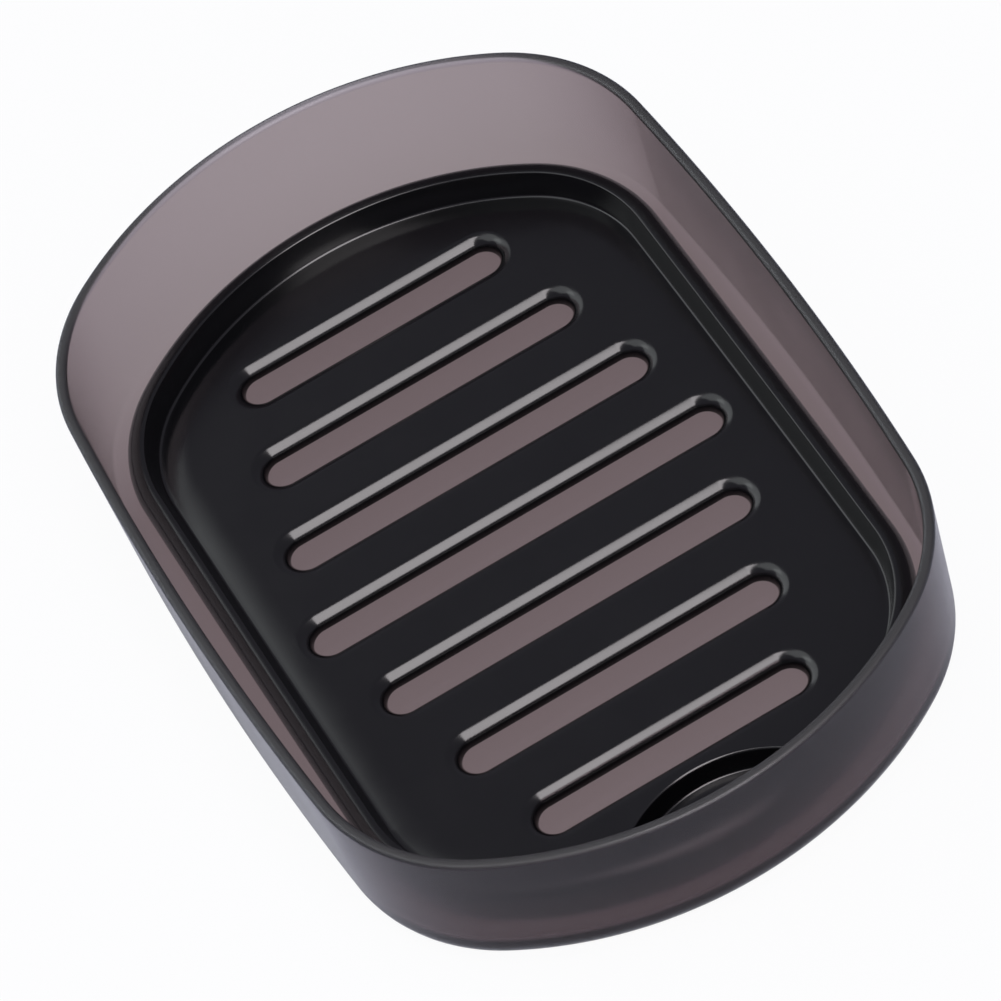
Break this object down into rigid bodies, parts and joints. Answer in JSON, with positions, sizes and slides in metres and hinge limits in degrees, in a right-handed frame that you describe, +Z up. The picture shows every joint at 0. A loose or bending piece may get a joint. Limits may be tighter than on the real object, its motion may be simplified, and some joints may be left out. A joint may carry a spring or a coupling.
{
  "type": "soap box",
  "caption": "Open-topped oval-ended soap box in smoky see-through plastic, with a black lift-out tray that has cross slots and a finger recess.",
  "frame": {"origin": "centre of the flat base, on the surface that the box stands on", "axes": "+Z up; +Y along the box, away from the tray's finger recess; +X across it, along the tray's slots"},
  "size_m": [0.0906, 0.1348, 0.0254],
  "materials": {
    "smoky_plastic": "glossy, see-through, smoky mauve",
    "black_plastic": "glossy black"
  },
  "bodies": {
    "box_body": {"box": "smoky_plastic"},
    "tray_body": {"drain_tray": "black_plastic"}
  },
  "joints": [
    {"name": "tray_lift", "type": "slide", "parent": "box_body", "child": "tray_body", "axis": [0, 0, 1], "range_m": [0, 0.05]}
  ]
}
